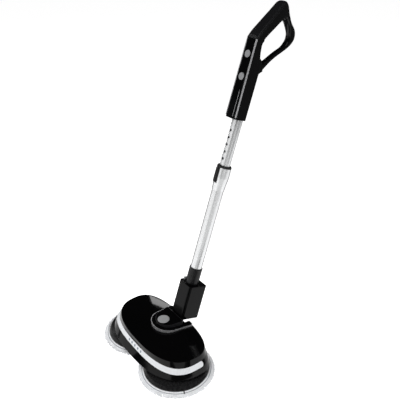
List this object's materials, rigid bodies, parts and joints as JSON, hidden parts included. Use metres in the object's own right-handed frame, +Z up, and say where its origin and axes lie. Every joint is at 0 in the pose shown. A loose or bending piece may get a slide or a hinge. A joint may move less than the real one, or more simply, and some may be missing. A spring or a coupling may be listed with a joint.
{
  "type": "cordless spin mop",
  "caption": "Upright cordless floor mop with a lit pill-shaped head on two spinning cloth pads, a leaning telescopic tube and a looped handle.",
  "frame": {"origin": "centre of the whole mop's footprint on the floor, in the pose it stands in: the base centre of its bounding box", "axes": "+Z up, +X along the head to its right-hand end, -Y towards the front of the head with the light strip"},
  "size_m": [0.3573, 0.5134, 0.854],
  "materials": {
    "gloss_black": "high gloss black",
    "charcoal": "satin charcoal",
    "lens": "frosted translucent, ribbed",
    "dark_chrome": "dark chrome",
    "light_grey": "satin light grey",
    "tube_alu": "satin anodised",
    "steel": "plain steel",
    "bronze": "sintered bronze",
    "seal_rubber": "matt black rubber",
    "mop_cloth": "white looped microfibre",
    "hook_tape": "hook tape",
    "board_green": "circuit board",
    "cell_wrap": "shrink wrap",
    "cast_alu": "die cast",
    "led_white": "clear epoxy"
  },
  "bodies": {
    "head": {"head_top_shell": "gloss_black", "light_strip_lens": "lens", "head_skirt": "charcoal", "base_plate": "charcoal", "base_screws": "steel", "plinth_body": "gloss_black", "plinth_trim": "dark_chrome", "plinth_cap": "gloss_black", "plinth_ring": "dark_chrome", "pedal_spring": "steel", "left_bush": "bronze", "left_gearbox": "cast_alu", "left_motor": "steel", "right_bush": "bronze", "right_gearbox": "cast_alu", "right_motor": "steel", "led_lamps": "led_white", "led_board": "board_green", "control_board": "board_green", "joint_bracket": "charcoal", "bracket_screws": "steel", "roll_pin": "steel"},
    "pedal": {"release_pedal": "light_grey"},
    "left_disc_set": {"left_spindle": "steel", "left_disc": "charcoal", "left_hook_layer": "hook_tape", "left_mop_pad": "mop_cloth"},
    "right_disc_set": {"right_spindle": "steel", "right_disc": "charcoal", "right_hook_layer": "hook_tape", "right_mop_pad": "mop_cloth"},
    "knuckle": {"joint_knuckle": "charcoal"},
    "foot": {"box_housing": "gloss_black", "box_front_cover": "gloss_black", "pitch_pin": "steel", "tube_sleeve": "charcoal", "outer_tube": "tube_alu", "tube_collar": "tube_alu", "collar_seal": "seal_rubber", "release_spring": "steel"},
    "battery": {"battery_pack_case": "gloss_black", "battery_cells": "cell_wrap"},
    "latch": {"battery_latch": "light_grey"},
    "tube_button": {"tube_release_button": "charcoal"},
    "handle": {"inner_tube": "tube_alu", "handle_shell_left": "gloss_black", "handle_shell_right": "gloss_black", "handle_front_cover": "gloss_black", "handle_board": "board_green", "trim_strip_left": "dark_chrome", "trim_strip_right": "dark_chrome", "grip_cover": "charcoal", "handle_loop": "charcoal", "handle_screws": "steel", "lower_key_switch": "steel", "upper_key_switch": "steel"},
    "lower_key_body": {"lower_key": "light_grey"},
    "upper_key_body": {"upper_key": "light_grey"}
  },
  "joints": [
    {"name": "left_disc_spin", "type": "hinge", "parent": "head", "child": "left_disc_set", "pos_m": [-0.08955, -0.16776, 0.02], "axis": [0, 0, 1], "continuous": true},
    {"name": "right_disc_spin", "type": "hinge", "parent": "head", "child": "right_disc_set", "pos_m": [0.08955, -0.16776, 0.02], "axis": [0, 0, 1], "continuous": true},
    {"name": "pedal_press", "type": "slide", "parent": "head", "child": "pedal", "axis": [0, 0, -1], "range_m": [0, 0.002], "stiffness_N_per_m": 900, "springref_m": -0.002, "deforming": ["pedal_spring"]},
    {"name": "handle_roll", "type": "hinge", "parent": "head", "child": "knuckle", "pos_m": [0, -0.09276, 0.066], "axis": [0, 1, 0], "range_deg": [-15, 15]},
    {"name": "handle_pitch", "type": "hinge", "parent": "knuckle", "child": "foot", "pos_m": [0, -0.08376, 0.088], "axis": [1, 0, 0], "range_deg": [-30, 18.3]},
    {"name": "battery_slide", "type": "slide", "parent": "foot", "child": "battery", "axis": [0, 0.9493, -0.3145], "range_m": [0, 0.045]},
    {"name": "battery_latch_press", "type": "slide", "parent": "foot", "child": "latch", "axis": [0, 0.9493, -0.3145], "range_m": [0, 0.004], "stiffness_N_per_m": 600, "springref_m": -0.002},
    {"name": "tube_button_press", "type": "slide", "parent": "foot", "child": "tube_button", "axis": [0, 0.9493, -0.3145], "range_m": [0, 0.0025], "stiffness_N_per_m": 800, "springref_m": -0.002},
    {"name": "tube_extension", "type": "slide", "parent": "foot", "child": "handle", "axis": [0, 0.3145, 0.9493], "range_m": [-0.085, 0.175]},
    {"name": "lower_key_press", "type": "slide", "parent": "handle", "child": "lower_key_body", "axis": [0, 0.9493, -0.3145], "range_m": [0, 0.0009], "stiffness_N_per_m": 900, "springref_m": -0.001},
    {"name": "upper_key_press", "type": "slide", "parent": "handle", "child": "upper_key_body", "axis": [0, 0.9493, -0.3145], "range_m": [0, 0.0009], "stiffness_N_per_m": 900, "springref_m": -0.001}
  ],
  "couplings": [
    {"joint": "right_disc_spin", "follows": "left_disc_spin", "ratio": -1}
  ]
}
